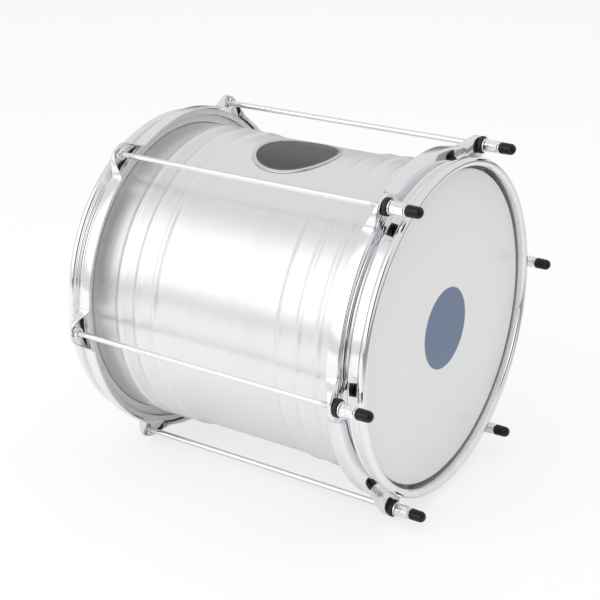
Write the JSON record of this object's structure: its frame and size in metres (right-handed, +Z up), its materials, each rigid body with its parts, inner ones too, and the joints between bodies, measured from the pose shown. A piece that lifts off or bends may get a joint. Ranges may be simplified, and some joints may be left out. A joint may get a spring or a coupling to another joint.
{
  "type": "repinique drum",
  "caption": "Samba drum: beaded metal shell, pressed chrome hoops with ear pockets, through rods with hex nuts and capped ends, film heads, round badge plate. Lies on its side.",
  "frame": {"origin": "on the ground under the middle of the drum's bounding box", "axes": "+Y along the drum's own axis, from the front head (with the capped nuts) to the rear head; +Z up from the ground the drum lies on; +X to the right of someone facing the front head"},
  "size_m": [0.3694, 0.3542, 0.3398],
  "materials": {
    "shell_aluminium": "brushed along the girth, satin",
    "hoop_chrome": "polished chrome plate",
    "head_film": "milky white polyester film",
    "flesh_hoop_metal": "mill finish",
    "rod_steel": "bright plated steel",
    "nut_steel": "bright zinc plate",
    "washer_steel": "zinc plate",
    "black_rubber": "soft black rubber",
    "black_vinyl": "glossy black vinyl",
    "badge_enamel": "dark enamel field with a bare metal border"
  },
  "bodies": {
    "drum": {"shell": "shell_aluminium", "badge": "badge_enamel", "front_head": "head_film", "rear_head": "head_film", "rear_flesh_hoop": "flesh_hoop_metal", "rear_hoop": "hoop_chrome", "tension_rod_1": "rod_steel", "tension_rod_2": "rod_steel", "tension_rod_3": "rod_steel", "tension_rod_4": "rod_steel", "tension_rod_5": "rod_steel", "tension_rod_6": "rod_steel", "lock_nut_1": "nut_steel", "lock_nut_2": "nut_steel", "lock_nut_3": "nut_steel", "lock_nut_4": "nut_steel", "lock_nut_5": "nut_steel", "lock_nut_6": "nut_steel"},
    "front_rim": {"front_hoop": "hoop_chrome", "front_flesh_hoop": "flesh_hoop_metal", "cushion_washer_1": "black_rubber", "cushion_washer_2": "black_rubber", "cushion_washer_3": "black_rubber", "cushion_washer_4": "black_rubber", "cushion_washer_5": "black_rubber", "cushion_washer_6": "black_rubber", "flat_washer_1": "washer_steel", "flat_washer_2": "washer_steel", "flat_washer_3": "washer_steel", "flat_washer_4": "washer_steel", "flat_washer_5": "washer_steel", "flat_washer_6": "washer_steel", "rod_cap_1": "black_vinyl", "rod_cap_2": "black_vinyl", "rod_cap_3": "black_vinyl", "rod_cap_4": "black_vinyl", "rod_cap_5": "black_vinyl", "rod_cap_6": "black_vinyl"},
    "nut_1": {"tension_nut_1": "nut_steel"},
    "nut_2": {"tension_nut_2": "nut_steel"},
    "nut_3": {"tension_nut_3": "nut_steel"},
    "nut_4": {"tension_nut_4": "nut_steel"},
    "nut_5": {"tension_nut_5": "nut_steel"},
    "nut_6": {"tension_nut_6": "nut_steel"}
  },
  "joints": [
    {"name": "front_rim_travel", "type": "slide", "parent": "drum", "child": "front_rim", "axis": [0, 1, 0], "range_m": [-0.002, 0.00025]},
    {"name": "nut_turn_1", "type": "hinge", "parent": "front_rim", "child": "nut_1", "pos_m": [0.17636, -0.15415, 0.18159], "axis": [0, 1, 0], "range_deg": [-720, 90]},
    {"name": "nut_turn_2", "type": "hinge", "parent": "front_rim", "child": "nut_2", "pos_m": [0.07803, -0.15415, 0.32847], "axis": [0, 1, 0], "range_deg": [-720, 90]},
    {"name": "nut_turn_3", "type": "hinge", "parent": "front_rim", "child": "nut_3", "pos_m": [-0.09833, -0.15415, 0.31675], "axis": [0, 1, 0], "range_deg": [-720, 90]},
    {"name": "nut_turn_4", "type": "hinge", "parent": "front_rim", "child": "nut_4", "pos_m": [-0.17636, -0.15415, 0.15816], "axis": [0, 1, 0], "range_deg": [-720, 90]},
    {"name": "nut_turn_5", "type": "hinge", "parent": "front_rim", "child": "nut_5", "pos_m": [-0.07803, -0.15415, 0.01128], "axis": [0, 1, 0], "range_deg": [-720, 90]},
    {"name": "nut_turn_6", "type": "hinge", "parent": "front_rim", "child": "nut_6", "pos_m": [0.09833, -0.15415, 0.023], "axis": [0, 1, 0], "range_deg": [-720, 90]}
  ],
  "couplings": [
    {"joint": "nut_turn_1", "follows": "front_rim_travel", "rad_per_m": 6283.2},
    {"joint": "nut_turn_2", "follows": "front_rim_travel", "rad_per_m": 6283.2},
    {"joint": "nut_turn_3", "follows": "front_rim_travel", "rad_per_m": 6283.2},
    {"joint": "nut_turn_4", "follows": "front_rim_travel", "rad_per_m": 6283.2},
    {"joint": "nut_turn_5", "follows": "front_rim_travel", "rad_per_m": 6283.2},
    {"joint": "nut_turn_6", "follows": "front_rim_travel", "rad_per_m": 6283.2}
  ]
}
